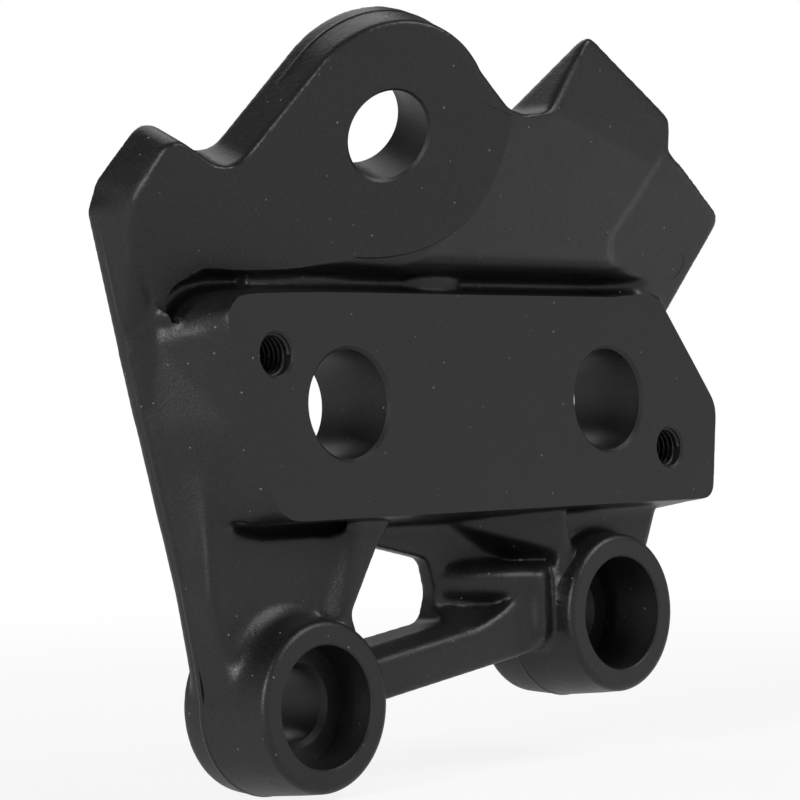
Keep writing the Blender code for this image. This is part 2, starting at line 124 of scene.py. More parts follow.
# %% [markdown]
# ## Drawing outlines
#
# The outline of a forging is straight lines with rounded corners, so an outline is written as
# its sharp corners, each with a radius, and the arcs are worked out. The pad faces straight
# forward, but the ear and the wing lean, so a small class holds a leaning face: its origin, its
# right and up directions and the way into the metal.

# %% Outlines and leaning faces
def rounded(corners, steps=8):
    """Outline points from (a, b, radius) corners, each round one as an arc."""
    points = []
    count = len(corners)
    for i, (a, b, radius) in enumerate(corners):
        here = Vector((a, b))
        if radius == 0:
            points.append((a, b))
            continue
        back = (Vector(corners[i - 1][:2]) - here).normalized()
        ahead = (Vector(corners[(i + 1) % count][:2]) - here).normalized()
        half = back.angle(ahead) / 2
        middle = here + (back + ahead).normalized() * radius / math.sin(half)
        start = here + back * radius / math.tan(half)
        end = here + ahead * radius / math.tan(half)
        for k in range(steps + 1):
            chord = (start - middle).lerp(end - middle, k / steps)
            point = middle + chord.normalized() * radius
            points.append((point.x, point.y))
    return points


def at_depth(points, y):
    return [(x, y, z) for x, z in points]


class Plane:
    """A face seen from the front: an origin, its right and up directions and the way in."""

    def __init__(self, origin, inward):
        self.inward = inward.normalized()
        self.origin = origin
        up = Vector((0, 0, 1))
        self.up = (up - self.inward * up.dot(self.inward)).normalized()
        self.right = self.up.cross(-self.inward)

    def point(self, u, w, depth=0.0):
        return self.origin + self.right * u + self.up * w + self.inward * depth

    def ring(self, points, depth):
        return [self.point(u, w, depth) for u, w in points]

    def depth_at(self, x, z, depth=0.0):
        """The y of the plane over a place in the front view."""
        side = self.inward.x * (x - self.origin.x) + self.inward.z * (z - self.origin.z)
        return self.origin.y + (depth - side) / self.inward.y


round_segments = 96


def full_circle(steps):
    return [2 * math.pi * k / steps for k in range(steps)]


def turned(name, plane, profile, u=0.0, w=0.0, segments=round_segments):
    """A round solid or cutter from (depth, radius) pairs about an axis square to a plane."""
    rings = []
    for depth, radius in profile:
        angles = full_circle(segments)
        points = [(u + radius * math.cos(a), w + radius * math.sin(a)) for a in angles]
        rings.append(plane.ring(points, depth))
    return loft(name, rings)


FRONT = Plane(Vector((0, 0, 0)), Vector((0, 1, 0)))

# %% [markdown]
# ## The four faces that carry everything
#
# The pad's face is the front plane. The ear leans back by 21.7 degrees and turns to the left by
# 13.3, and the wing leans by 27 degrees without turning. The blank is forged a little proud of
# the ear's face, which the cutter then takes down, so the rough face and the finished face are
# two parallel planes.

# %% Ear, wing and facet planes
ear_centre = Vector((-21.76, -6.0, 31.33))
ear_lean = math.radians(21.7)
ear_turn = math.radians(13.3)
ear_radius, ear_offset = 13.83, 0.4
ear_thickness = 7.5
forging_allowance = 0.15
face_crease = 2.0
face_fall_right = 0.012
wing_lean = math.radians(27.06)
wing_distance = 5.75
wing_thickness = 7.5
facet_normal = Vector((-0.098, 0.99, 0.099))
facet_distance = -7.8


def ear_inward():
    level = math.cos(ear_lean)
    return Vector((level * math.sin(ear_turn), level * math.cos(ear_turn), math.sin(ear_lean)))


EAR = Plane(ear_centre, ear_inward())
EAR_FORGED = Plane(EAR.point(face_crease, 0), EAR.inward - EAR.right * face_fall_right)
EAR_ROUGH = Plane(EAR.point(0, 0, -forging_allowance), EAR.inward)
wing_inward = Vector((0, math.cos(wing_lean), math.sin(wing_lean)))
WING = Plane(wing_inward * wing_distance, wing_inward)
FACET = Plane(facet_normal * facet_distance, facet_normal)
print("The ear's face points to", [round(-c, 3) for c in EAR.inward])

# %% Cutters for all in front of a plane
def in_front_of(name, plane, least_x=-80):
    front = -60
    corners = [(least_x, -60), (80, -60), (80, 80), (least_x, 80)]
    face = [(x, max(front + 1, plane.depth_at(x, z)), z) for x, z in corners]
    return hull(name, at_depth(corners, front) + face)


def wing_front_cutter():
    """All in front of the wing's face, at the plates' heights only."""
    corners = [(-80, 0), (80, 0), (80, 60), (-80, 60)]
    face = [(x, WING.depth_at(x, z), z) for x, z in corners]
    return hull("wing_front", at_depth(corners, -70) + face)

# %% [markdown]
# ## The pad with its flared skirt
#
# The pad is the thick block that is bolted to the machine. Its walls lean outwards by the draft
# of the dies, and on the left they flare much further, until they reach the plate's straight
# edge near the back. Each ring of the loft is the same outline, moved part of the way from the
# pad's own edge to the plate's edge.

# %% Pad block
pad_top, pad_bottom = 13.2, -13.5
pad_left, pad_left_slope = -39.6, -0.316
pad_right = 45.52
pad_shoulder_x, pad_shoulder_z = 34.1, -1.1
pad_cut, pad_cut_x = (-42.9, 10.5), -40.6
shelf_z, flare_z = 8.6, -2.0
body_depth = 12.0
wall_draft = 0.15
edge_x, edge_slope = -47.65, -0.263
parting_depth = 10.0


def edge_at(z):
    return edge_x + edge_slope * z


def pad_edge_at(z):
    return pad_left + pad_left_slope * z


def pad_corners(y, side, shelf):
    """The outline at a depth: side and shelf are the flare's shares at its foot and its top."""
    out = wall_draft * y
    bottom = pad_bottom - out
    flare = []
    levels = (shelf_z, shelf, 0.1 + 0.22 * y), (flare_z, side, 3), (bottom, side, 5 - 0.2 * y)
    for z, share, radius in levels:
        flare.append((pad_edge_at(z) * (1 - share) + edge_at(z) * share, z, radius))
    left = [(pad_cut_x - out, pad_top + out, 3), (pad_cut[0] - 0.2 * y, pad_cut[1] + 0.3 * out, 2)]
    right = [(pad_right - 1.2 + out, bottom, 2), (pad_right + out, pad_shoulder_z, 4)]
    return rounded([*left, *flare, *right, (pad_shoulder_x + out, pad_top + out, 4)])


def pad_block():
    sections = [(-0.6, 0.0, 0.0), (3.0, 0.25, 0.2), (8.2, 0.82, 0.56)]
    sections += [(parting_depth - 0.4, 1.0, 1.0), (body_depth, 1.0, 1.0)]
    rings = [at_depth(pad_corners(max(y, 0.0), side, shelf), y) for y, side, shelf in sections]
    return loft("pad_block", rings)

# %% [markdown]
# ## The ear, the wing and the left rim
#
# The ear is a plate under a round crown, with a horn to its left. The wing is a second plate
# that leans more and ends in two stepped corners. Where they meet, the plane that lies further
# back wins, which gives the soft crease between them, so each plate is cut by the other's front.

# %% Ear slab
def ear_slab():
    start, end = math.radians(36), math.radians(146)
    arc = [start + (end - start) * k / 40 for k in range(41)]
    crown = [(ear_offset + ear_radius * math.cos(a), ear_radius * math.sin(a)) for a in arc]
    rings = []
    for depth, left in ((-3.0, 0.0), (0.0, 0.0), (ear_thickness, 1.3)):
        corners = [(*crown[-1], 0), (-20.2, -5.4, 3.5), (-28.6 - 0.3 * left, -0.7, 2.2)]
        corners += [(-32.72 - left, -8.8, 2.5), (-25.7 - 2 * left, -23.5, 0)]
        corners += [(-23.8 - 2 * left, -29.0, 0), (24.0, -27.0, 0), (24.0, 0.8, 0)]
        corners += [(16.6, 3.7, 2.5), (*crown[0], 0)]
        rings.append(EAR.ring(crown + rounded(corners)[1:-1], depth))
    return loft("ear_slab", rings)

# %% Wing slab, its step and its thinned back
wing_step = 0.7
wing_chamfer_z, wing_chamfer_slope = 34.5, 0.75


def wing_slab():
    corners = [(-14.0, 31.0, 0), (-5.0, 34.2, 1.5), (1.0, 34.9, 3.0), (8.4, 44.9, 1.6)]
    corners += [(27.4, 35.6, 2.5), (27.2, 31.6, 1.0), (41.9, 23.7, 2.0)]
    corners += [(37.4, 10.5, 0), (36.0, 7.0, 0), (-14.0, 7.0, 0)]
    outline = rounded(corners)
    front = [(x, WING.depth_at(x, z), z) for x, z in outline]
    back = [(x, WING.depth_at(x, z, wing_thickness), z) for x, z in outline]
    return loft("wing_slab", [front, back])


def wing_step_cutter():
    outline = [
        (26.6, 40.0), (26.0, 33.0), (24.3, 29.0), (22.3, 24.4), (20.4, 20.8),
        (20.9, 19.0), (24.6, 15.5), (34.0, 8.0), (60.0, 8.0), (60.0, 40.0),
    ]
    back = [(x, WING.depth_at(x, z, wing_step), z) for x, z in outline]
    return loft("wing_step", [at_depth(outline, -40), back])


def wing_back_cutter():
    low, high = wing_chamfer_z, 60.0
    start = WING.depth_at(0.0, low, wing_thickness)
    end = start - wing_chamfer_slope * (high - low)
    section = [(start, low), (end, high), (40.0, high), (40.0, low)]
    return loft("wing_back", [[(x, y, z) for y, z in section] for x in (1.0, 60.0)])

# %% Rim and plates
def rim():
    """The left side below the horn, which leans out from the ear face's border to the edge."""
    border = [(-52.5, 5.4, 22.3), (-48.85, 7.15, 16.0), (-44.75, 8.95, 9.5), (-43.0, 9.6, 6.0)]
    edge = [(edge_at(z) + inset, z) for z, inset in ((26.0, 2.5), (22.7, 0.25), (2.0, 0.0))]
    inner = [(x + 9.0, z) for x, z in edge]
    rear = at_depth(edge, parting_depth) + at_depth(edge, body_depth) + at_depth(inner, body_depth)
    return hull("rim", border + rear)


def plates():
    plate, wing = ear_slab(), wing_slab()
    combine(plate, rim(), "UNION")
    forged, rough = in_front_of("forged", EAR_FORGED), in_front_of("rough", EAR_ROUGH)
    for cutter in (forged, rough, wing_front_cutter()):
        combine(plate, cutter, "DIFFERENCE")
    ear_side, facet = in_front_of("ear_side", EAR_FORGED), in_front_of("facet", FACET, -8)
    for cutter in (ear_side, facet, wing_step_cutter(), wing_back_cutter()):
        combine(wing, cutter, "DIFFERENCE")
    combine(plate, wing, "UNION")
    behind = [(x, y, z) for x in (-80, 80) for y in (body_depth, 60) for z in (-60, 80)]
    combine(plate, hull("behind", behind), "DIFFERENCE")
    return plate


def plate_root():
    """Solid metal behind the groove, where the plates grow out of the pad."""
    foot = [(x, y, 10.0) for x in (-47.0, 38.0) for y in (6.0, body_depth)]
    heel = [(-44.0, body_depth, 16.5), (36.5, body_depth, 15.5)]
    top = [(-32.0, 4.4, 24.0), (33.0, 3.4, 23.0)]
    return hull("plate_root", foot + heel + top)

# %% [markdown]
# ## The groove over the pad
#
# A deep rounded groove parts the pad from the plates. It runs out at its right end, turns
# down beside the pad's left corner, and a small bridge of metal crosses it near the middle. The
# cutters are lofts and swept tubes, so each section can be changed on its own.

# %% Groove cutters
groove_floor, groove_end, groove_bridge_x = 4.4, 31.0, -5.0
groove_lip = ((-0.2, 0.8), (0.0, 1.4), (-0.2, 2.0), (-0.9, 2.35), (-2.4, 2.5), (-3.9, 2.9))
groove_lip += ((-5.4, 3.6), (-6.7, 4.6), (-7.8, 6.0), (-10.7, 10.8))
roll_z = 20.6
roll_curve = ((0.0, 0.0), (0.95, -2.0), (1.6, -3.0), (2.7, -4.0), (4.2, -4.7), (6.0, -5.0))
roll_fades = ((-45.0, 5.0), (-36.0, 3.6), (-29.0, 2.0), (-23.0, 0.6), (-18.0, 0.0), (-6.0, 0.0))


def groove_cutter():
    floor = groove_floor
    section = [
        (-14.0, pad_top - 14.0 * wall_draft),
        (floor - 1.0, pad_top + (floor - 1.0) * wall_draft),
    ]
    section += [(floor + y, pad_top + z) for y, z in groove_lip]
    section.append((-14.0, pad_top + groove_lip[-1][1]))
    path = [(-42.0, 3.0), (-38.5, 1.6), (-34.0, 0.5), (-28.0, -0.2), (-20.0, -0.3), (-8.0, 0.0)]
    path += [(groove_end - 6.0, 0.0), (groove_end, -4.5)]
    return loft("groove", [[(x, y + deeper, z) for y, z in section] for x, deeper in path])


def ear_roll():
    """Rounds the ear plate's lower edge into the groove, along the plate's own slant."""
    rings = []
    for x, fade in roll_fades:
        start = EAR.depth_at(x, roll_z) - fade
        section = [(start - 14.0, roll_z)]
        section += [(start + y, roll_z + z) for y, z in roll_curve]
        section += [(start + 6.0, roll_z - 5.6), (start - 14.0, roll_z - 6.6)]
        rings.append([(x, y, z) for y, z in section])
    return loft("ear_roll", rings)

# %% The groove's left end, its bridge and the hollow under the pad
def groove_turn():
    """A tube along (x, y, z, radius) stations, deeper than it is wide."""
    path = [(-35.0, 5.0, 14.7, 1.0), (-39.0, 6.0, 14.6, 1.25), (-41.6, 6.8, 14.1, 1.4)]
    path += [(-43.4, 7.6, 13.0, 1.5), (-44.3, 8.0, 11.6, 1.3), (-44.4, 8.0, 10.0, 0.9)]
    rings = []
    for k, (x, y, z, radius) in enumerate(path):
        before, after = path[max(k - 1, 0)], path[min(k + 1, len(path) - 1)]
        run = Vector((after[0] - before[0], after[2] - before[2])).normalized()
        ring = []
        for a in full_circle(24):
            across = radius * math.cos(a)
            depth = (1.6 + 0.5 * radius) * math.sin(a)
            ring.append((x - run.y * across, y + depth, z + run.x * across))
        rings.append(ring)
    return loft("groove_turn", rings)


def groove_bridge():
    rings = []
    for k in range(9):
        slant = math.pi * (k + 0.5) / 9
        reach = 2.4 * math.sin(slant)
        x = groove_bridge_x + 5.0 * math.cos(slant)
        ring = []
        for a in full_circle(16):
            y = groove_floor + reach * math.cos(a)
            ring.append((x, y, pad_top + 1.6 + reach * math.sin(a)))
        rings.append(ring)
    return loft("groove_bridge", rings)


def pad_undercut():
    """The rounded hollow between the pad's lower edge and the left leg."""
    y, z = 5.3, -13.7
    rings = []
    for x, radius in ((-38.2, 0.4), (-36.0, 1.3), (-33.0, 1.8), (-23.0, 1.8), (-17.5, 1.0)):
        ring = [(x, y + radius * math.cos(a), z + radius * math.sin(a)) for a in full_circle(24)]
        rings.append(ring)
    return loft("pad_undercut", rings)

# %% [markdown]
# ## The lower frame
#
# Two bosses under the pad take the footrest bracket. A leg joins each of them to the pad, a bar
# joins them to each other, and a thin web, ribs and a slanted gusset fill the corners between.
# Each is a loft that is narrower in front than behind, as the dies leave it.

# %% Bosses
boss_left, boss_right = (-28.7, -35.4), (25.0, -27.7)
boss_radius, boss_flare, boss_edge = 10.2, 0.08, 0.9
boss_left_depth, boss_right_depth = 13.8, 16.0


def boss(name, place, depth):
    rear = boss_radius + boss_flare * parting_depth
    profile = [(0.9, boss_radius - 1.3), (2.2, boss_radius + 2.2 * boss_flare)]
    profile += [(parting_depth, rear - 0.03), (depth, rear - 0.33)]
    return turned(name, FRONT, profile, *place)


def boss_front(name, place):
    """The clean turned front of a boss, with its rounded edge, which dips into the blank."""
    edge = boss_edge
    profile = [(-0.6, boss_radius - edge), (0.0, boss_radius - edge)]
    for degrees in (15, 30, 45, 60, 75, 90):
        turn = math.radians(degrees)
        profile.append((edge * (1 - math.cos(turn)), boss_radius - edge * (1 - math.sin(turn))))
    profile += [(3.0, boss_radius + 3.0 * boss_flare - 0.03), (3.8, boss_radius - 1.5)]
    return turned(name, FRONT, profile, *place)

# %% Legs, window rib and cross-bar
leg_face, rib_face, right_leg_face = 5.6, 3.0, 4.8
web_face, bar_face, bar_height = 9.4, 4.0, 4.9


def left_leg():
    inner = [(-28.7, -36.0), (-19.5, -30.0), (-16.0, -8.0)]
    front = [(-41.9, -8.0), (-41.5, -22.0), (-38.6, -33.0), *inner]
    rear = [(edge_at(-8.0), -8.0), (edge_at(-22.0), -22.0), (-39.6, -33.5), *inner]
    rings = [at_depth(front, leg_face), at_depth(rear, parting_depth), at_depth(rear, body_depth)]
    return loft("left_leg", rings)


def window_rib():
    left_front = [(-19.3, -12.0), (-22.0, -24.0), (-25.0, -31.0), (-22.5, -33.0)]
    front = left_front + [(-19.6, -28.4), (-21.0, -25.2), (-12.6, -12.0)]
    left_rear = [(-24.0, -12.0), (-24.8, -24.0), (-27.5, -31.0), (-22.5, -33.0)]
    rear = left_rear + [(-19.0, -28.4), (-20.4, -25.2), (-12.0, -12.0)]
    rings = [at_depth(front, rib_face), at_depth(rear, leg_face + 0.3), at_depth(rear, body_depth)]
    return loft("window_rib", rings)


def boss_collar():
    """The wide fillet where the left leg climbs onto its boss."""
    section = [(-1.0, 3.5), (0.2, 3.7), (0.6, 4.3), (1.2, 4.9), (2.0, 5.4), (2.7, 5.9)]
    section.append((-1.0, 9.0))
    rings = []
    x, z = boss_left
    for k in range(25):
        turn = math.radians(62 + 4.6 * k)
        fade = math.sin(math.pi * (k + 0.6) / 25.2) ** 0.9
        out = Vector((math.cos(turn), 0, math.sin(turn)))
        ring = []
        for away, y in section:
            reach = boss_radius + away * fade
            ring.append(Vector((x, y, z)) + out * reach)
        rings.append(ring)
    return loft("boss_collar", rings)


def cross_bar():
    run = Vector((boss_right[0] - boss_left[0], boss_right[1] - boss_left[1])).normalized()
    up = Vector((-run.y, run.x))
    start = Vector(boss_left) + run * 6.0
    end = Vector(boss_right) - run * 6.0
    half = bar_height / 2
    wide = (half + 0.5, half + 3.2)
    rings = []
    for y, below, above in ((bar_face, half, half), (bar_face + 5.4, *wide), (body_depth, *wide)):
        corners = (start - up * below, end - up * below, end + up * above, start + up * above)
        rings.append([(c.x, y, c.y) for c in corners])
    return loft("cross_bar", rings)


def bar_shoulder():
    """The bar's face, which curves up at its right end to meet the pocket's rib."""
    top = [(-3.0, -29.6), (3.0, -27.7), (7.0, -26.0), (9.6, -24.4), (11.4, -22.6), (12.6, -22.0)]
    front = top + [(12.6, -29.0), (-3.0, -31.0)]
    rear = [(x, z - 0.9) for x, z in top] + [(12.6, -29.5), (-3.0, -31.5)]
    return loft("bar_shoulder", [at_depth(front, bar_face), at_depth(rear, web_face + 1.0)])

# %% Web, pocket and right leg
def web():
    outline = [(-18.0, -10.0), (-20.0, -33.0), (0.0, -33.0)]
    outline += [(0.0, -25.5), (22.0, -25.5), (22.0, -10.0)]
    return loft("web", [at_depth(outline, web_face), at_depth(outline, body_depth)])


def pocket_floor():
    outline = [(-2.0, -24.0), (-2.0, -33.0), (22.0, -30.0), (22.0, -24.0)]
    rings = [at_depth(outline, body_depth - 1.2), at_depth(outline, body_depth)]
    return loft("pocket_floor", rings)


def pocket_lip():
    """The rib over the pocket, whose underside runs back and down behind the cross-bar."""
    rings = []
    for x, front in ((0.6, 8.6), (3.6, 6.4), (7.4, 4.2), (11.8, 2.6)):
        section = [(front, -22.0), (front, -23.2), (front + 1.2, -24.5), (body_depth, -28.0)]
        section += [(body_depth, -20.0), (web_face, -20.3), (front + 0.8, -21.2)]
        rings.append([(x, y, z) for y, z in section])
    return loft("pocket_lip", rings)


def right_leg():
    front = [(18.5, -8.0), (18.5, -16.7), (19.6, -20.0), (22.0, -27.0)]
    front += [(33.0, -27.0), (36.5, -19.0), (38.6, -14.0), (39.0, -8.0)]
    rear = [(17.8, -8.0), (17.8, -16.7), (18.8, -20.0), (20.0, -28.0)]
    rear += [(35.0, -28.0), (40.0, -19.0), (42.6, -14.0), (43.0, -8.0)]
    return loft("right_leg", [at_depth(front, right_leg_face), at_depth(rear, body_depth)])

# %% Gusset, ribs and window
def corner_gusset():
    """The slanted facet that falls from a ridge beside the right boss to the web."""
    ridge = [(15.9, 2.0, -12.5), (15.9, 2.0, -16.8), (18.0, 1.8, -19.8)]
    crease = [(0.6, web_face, -13.0), (1.0, web_face, -14.7)]
    crease += [(8.3, web_face, -18.4), (15.8, web_face, -20.4)]
    rear = [(0.6, body_depth, -13.0), (16.0, body_depth, -21.0), (20.0, body_depth, -12.5)]
    behind = [(18.4, 4.8, -12.5), (20.0, 4.8, -20.0), (16.5, 6.6, -21.2)]
    return hull("corner_gusset", ridge + crease + rear + behind)


def gusset_foot():
    """The facet's narrow end, which runs down the right boss's flank."""
    front = [(15.9, 2.0, -16.8), (18.0, 1.8, -19.8), (16.3, 2.4, -22.4), (15.0, 3.8, -25.6)]
    rear = [(16.5, 6.6, -20.8), (15.8, 5.4, -22.4)]
    rear += [(20.0, web_face, -19.5), (20.0, web_face, -25.0)]
    return hull("gusset_foot", front + rear)


def pocket_rib():
    """The upright rib between the cross-bar and the right boss."""
    front = [(11.4, 2.3, -21.8), (13.2, 2.3, -21.3), (13.4, 2.4, -30.6), (11.6, 2.4, -30.0)]
    flank = [(15.6, 4.4, -20.8), (15.6, 4.4, -31.0)]
    rear = [(11.0, web_face, -20.8), (16.0, web_face, -20.3)]
    rear += [(16.0, web_face, -32.0), (11.0, web_face, -31.5)]
    return hull("pocket_rib", front + flank + rear)


def window_cutter():
    corners = [(-15.9, -16.3, 0.8), (-21.0, -25.0, 1.5), (-19.3, -30.0, 1.0)]
    corners += [(-1.2, -27.4, 1.8), (0.0, -24.0, 2.0), (-1.0, -19.6, 2.0)]
    outline = rounded(corners)
    return loft("window", [at_depth(outline, -2), at_depth(outline, body_depth + 3)])

# %% [markdown]
# ## Melting the blank
#
# Real forged metal has flowed, so no two of its forms meet in a hard line. A Voxel Remesh gives
# the same result: it joins all the overlapping solids into one skin of even little squares, and
# a Smooth modifier then rounds every edge and fills every corner by the same radius. The grain
# of 0.3 mm is fine enough to keep the groove's lips, and the passes are counted so that the
# rounding stays the same in millimetres whatever the grain is.

# %% Voxel blank
grain = 0.3
rounding = 0.85
first_rounding = 0.4
blank_facets = 176000


def smooth(body, radius, group=""):
    """Rounds edges: each pass spreads a point over about half a grain."""
    step = body.modifiers.new("rounding", "SMOOTH")
    step.factor = 0.5
    step.iterations = max(1, round(2 * (radius / grain) ** 2))
    step.vertex_group = group
    settle(body)


def remelt(body, radius):
    """One even skin round all that overlaps, with its edges rounded."""
    step = body.modifiers.new("grain", "REMESH")
    step.mode = "VOXEL"
    step.voxel_size = grain * MM
    smooth(body, radius)


def eased(part):
    """Takes the sharpness off the edges, because a voxel grid turns a sharp edge into steps."""
    step = part.modifiers.new("eased", "BEVEL")
    step.width = 0.5 * MM
    step.segments = 2
    step.limit_method = "ANGLE"
    step.angle_limit = math.radians(25)
    settle(part)


def melt(name, parts):
    """One body from overlapping closed solids, on a fine voxel grid."""
    bm = bmesh.new()
    for part in parts:
        eased(part)
        bm.from_mesh(part.data)
        bpy.data.objects.remove(part, do_unlink=True)
    body = new_object(name, bm)
    remelt(body, first_rounding)
    return body


forms = [pad_block(), plates(), plate_root(), left_leg(), window_rib(), boss_collar()]
forms += [cross_bar(), bar_shoulder(), web(), pocket_floor(), pocket_lip(), right_leg()]
forms += [corner_gusset(), gusset_foot(), pocket_rib()]
forms.append(boss("boss_left", boss_left, boss_left_depth))
forms.append(boss("boss_right", boss_right, boss_right_depth))
blank = melt("blank", forms)
print("Blank before its cuts:", len(blank.data.polygons), "faces")

# %% Forged hollows, then the rounding
for hollow in (groove_cutter(), groove_turn(), ear_roll()):
    combine(blank, hollow, "DIFFERENCE", "MANIFOLD")
combine(blank, groove_bridge(), "UNION", "MANIFOLD")
for hollow in (pad_undercut(), window_cutter()):
    combine(blank, hollow, "DIFFERENCE", "MANIFOLD")
remelt(blank, rounding)
print("Blank after its cuts:", len(blank.data.polygons), "faces")

# %% [markdown]
# ## Where the dies are worn rounder
#
# A few edges are much softer than the rest, such as the wing's upper left ridge, the crease
# down the left leg and the ribs beside the pocket. Each has a line with two ends, a reach and a
# strength. A vertex group holds how much each point takes part, from the strength on the line
# to 0 at its reach, and a second Smooth modifier reads it.

# %% Softer zones
soft_zones = (
    ((2.5, -12.0, 37.0), (8.0, -16.0, 43.5), 3.2, 1.0),  # wing's ridge
    ((-44.5, 6.0, -4.0), (-41.0, 7.0, -30.0), 7.0, 1.0),  # left leg
    ((-40.0, 6.0, -28.0), (-37.0, 6.0, -33.0), 4.5, 1.0),  # leg's foot
    ((-41.2, 0.0, 10.0), (-35.4, 0.0, -13.0), 2.0, 0.5),  # pad's left edge
    ((-42.5, 5.5, 14.8), (-44.7, 8.6, 9.6), 3.5, 1.0),  # groove's turn
    ((-53.0, 6.0, 24.0), (-53.0, 6.5, 21.0), 4.5, 1.0),  # horn
    ((-39.5, 6.0, -31.0), (-36.5, 4.5, -34.5), 3.5, 1.0),  # boss collar
    ((1.0, 6.5, -22.0), (11.5, 3.5, -22.0), 3.2, 1.0),  # pocket lip
    ((12.4, 3.0, -22.5), (12.4, 3.5, -31.0), 3.2, 1.0),  # pocket rib
    ((1.0, 3.0, -28.5), (11.0, 3.0, -23.5), 2.6, 0.8),  # bar's shoulder
    ((-43.5, 3.0, 15.0), (-39.0, 3.0, 12.0), 4.0, 1.0),  # pad's cut corner
)
softer_rounding = 1.5


def near_lines(points, zones):
    """How much each point belongs to lines with a reach and a strength."""
    share = np.zeros(len(points))
    for start, end, reach, strength in zones:
        start, run = np.array(start), np.array(end) - np.array(start)
        along = np.clip((points - start) @ run / (run @ run), 0.0, 1.0)
        away = np.linalg.norm(points - start - along[:, None] * run, axis=1) / reach
        share = np.maximum(share, strength * np.clip(1.2 * (1.0 - away * away), 0.0, 1.0))
    return share


def soften(body, zones):
    places = np.empty(3 * len(body.data.vertices), dtype=np.float32)
    body.data.vertices.foreach_get("co", places)
    share = near_lines(places.reshape(-1, 3).astype(float) / MM, zones)
    group = body.vertex_groups.new(name="worn")
    for index in np.flatnonzero(share > 0.01):
        group.add([int(index)], float(share[index]), "REPLACE")
    smooth(body, softer_rounding, "worn")
    body.vertex_groups.clear()
    return int((share > 0.01).sum())


print("Points in the softer zones:", soften(blank, soft_zones))

# %% [markdown]
# ## Crisp forged details
#
# The ear's round spot stands a touch proud of the plate, so its lower edge shows as a fine
# line, and the fronts of the bosses are turned clean. Both are added after the blank was
# rounded, or they would melt away, and hold their own much smaller rounding in their sections.

# %% Spot, and fewer facets
spot_radius, spot_flat = 17.2, 1.9


def spot_reach(angle):
    """The spot is a circle that is flatter at the bottom, where the plate curves away."""
    return spot_radius - spot_flat * max(0.0, -math.sin(angle)) ** 4


def ear_spot():
    crown_inside = [(12.2, 4.4), (10.6, 7.4), (7.6, 10.4), (4.0, 12.2), (0.0, 12.8)]
    crown_inside += [(-4.0, 12.2), (-7.6, 10.2), (-10.4, 7.2)]
    start, end = math.radians(184), math.radians(370)
    angles = [start + (end - start) * k / 96 for k in range(97)]
    rings = []
    for depth, inset in ((-1.0, 0.9), (0.0, 0.32), (0.12, 0.12), (0.35, 0.0), (4.0, 0.0)):
        outline = []
        for a in angles:
            reach = spot_reach(a) - inset
            outline.append((reach * math.cos(a), reach * math.sin(a)))
        outline += crown_inside
        rings.append(EAR.ring(outline, depth))
    return loft("ear_spot", rings)


def thinned(body, facets):
    now = sum(len(face.vertices) - 2 for face in body.data.polygons)
    if now > facets:
        step = body.modifiers.new("facets", "DECIMATE")
        step.ratio = facets / now
        settle(body)


# %% [markdown]
# ## The parting line
#
# The two dies meet in a line round the forging, and trimming its flash leaves a fine ridge. Its
# place on the wall isn't known beforehand, so rays are cast at the blank from outside, and a
# thin diamond section is strung through the points where they land.

# %% Flash ridges
ridge_height, ridge_half, ridge_root = 0.11, 0.38, 0.5
ridge_fade = 10


def flash_ridge(name, body, rays):
    points = [vertex.co for vertex in body.data.vertices]
    faces = [tuple(face.vertices) for face in body.data.polygons]
    tree = BVHTree.FromPolygons(points, faces)
    rings = []
    for k, (origin, aim) in enumerate(rays):
        place, normal, _, _ = tree.ray_cast(Vector(origin) * MM, Vector(aim).normalized())
        if place is None:
            continue
        fade = min(1.0, k / ridge_fade, (len(rays) - 1 - k) / ridge_fade)
        place = place / MM - normal * 0.1 * (1.0 - fade)
        across = Vector((0, 1, 0)) - normal * normal.y
        across.normalize()
        crest, root = place + normal * ridge_height, place - normal * ridge_root
        rings.append([crest, place + across * ridge_half, root, place - across * ridge_half])
    return loft(name, rings)


def rays_round(centre, right, up, first, step, count):
    """Rays from all round a centre in to it: the first angle and the step are in degrees."""
    rays = []
    for k in range(count):
        turn = math.radians(first + step * k)
        out = right * math.cos(turn) + up * math.sin(turn)
        rays.append((centre + out * 30.0, -out))
    return rays


def rays_round_boss(place, first, count):
    centre = Vector((place[0], parting_depth, place[1]))
    return rays_round(centre, FRONT.right, FRONT.up, first, 1.9, count)


left_wall = [((-80.0, parting_depth, 21.0 - 0.43 * k), (1, 0, 0)) for k in range(120)]
crown_centre = EAR.point(ear_offset, 0.0, 4.8)
ridges = [
    flash_ridge("flash_left", blank, left_wall + rays_round_boss(boss_left, 176, 60)),
    flash_ridge("flash_right", blank, rays_round_boss(boss_right, 205, 50)),
    flash_ridge("flash_crown", blank, rays_round(crown_centre, EAR.right, EAR.up, 28, 1.35, 100)),
]

# %% Joining the crisp details
thinned(blank, blank_facets)
smooth(blank, grain)
fronts = [boss_front("front_left", boss_left), boss_front("front_right", boss_right)]
for detail in (ear_spot(), *fronts, *ridges):
    combine(blank, detail, "UNION", "MANIFOLD")
print("Blank for machining:", len(blank.data.polygons), "faces")

# %% [markdown]
# ## Machining
#
# The cutters carry a second material, and a Boolean hands a cutter's material to the faces that
# it leaves. So the machined faces, which are smoother under the coat than the forged skin, tell
# themselves apart from it without any painting of masks.

# %% Cutters for faces and holes
hole_pitch, hole_radius, hole_chamfer = 47.0, 6.5, 0.42
ear_hole_radius, ear_hole_chamfer = 5.38, 0.35
ear_face_foot = 15.4
thread_radius, tap_depth, tap_countersink = 2.5, 9.0, 0.3
tap_left, tap_right = (-35.2, 5.9), (35.6, -6.5)
counterbore_radius, counterbore_chamfer = 7.28, 0.2
counterbore_left_depth, counterbore_right_depth = 5.2, 9.2
bolt_radius, bolt_chamfer = 4.38, 0.65


